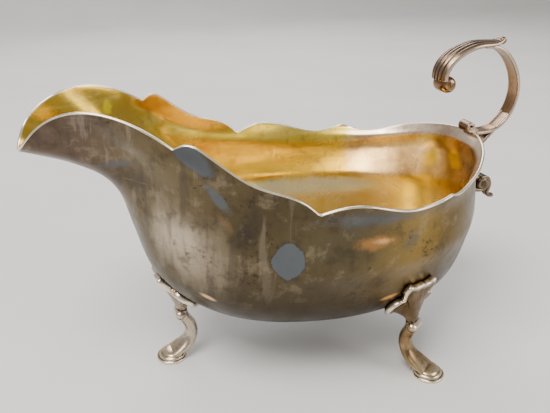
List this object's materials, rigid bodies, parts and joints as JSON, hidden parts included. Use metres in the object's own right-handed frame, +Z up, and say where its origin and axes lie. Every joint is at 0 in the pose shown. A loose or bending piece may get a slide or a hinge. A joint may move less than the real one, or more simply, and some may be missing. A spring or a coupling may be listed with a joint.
{
  "type": "footed sauce boat",
  "caption": "Oval silver sauce boat with long spout, wavy rim, gilt inside, reeded scroll handle and cabriole hoof feet.",
  "frame": {"origin": "centre of the overall footprint at the level of the three soles", "axes": "+Z up, +X toward the handle, spout toward -X, symmetric about the XZ plane"},
  "size_m": [0.188, 0.0996, 0.1158],
  "materials": {
    "bowl_silver": "tarnished hand-raised silver",
    "gilt": "satin gilding",
    "handle_silver": "warm worn silver",
    "foot_silver": "worn cast silver"
  },
  "bodies": {
    "root": {"bowl": "bowl_silver", "gilt_lining": "gilt", "handle_band": "handle_silver", "handle_leaf": "handle_silver", "handle_terminal": "handle_silver", "rim_volute": "handle_silver", "handle_strut": "handle_silver", "lower_scroll": "handle_silver", "front_knee_plate": "foot_silver", "front_knee_bracket": "foot_silver", "front_leg": "foot_silver", "front_hoof": "foot_silver", "rear_left_knee_plate": "foot_silver", "rear_left_knee_bracket": "foot_silver", "rear_left_leg": "foot_silver", "rear_left_hoof": "foot_silver", "rear_right_knee_plate": "foot_silver", "rear_right_knee_bracket": "foot_silver", "rear_right_leg": "foot_silver", "rear_right_hoof": "foot_silver"}
  },
  "joints": []
}
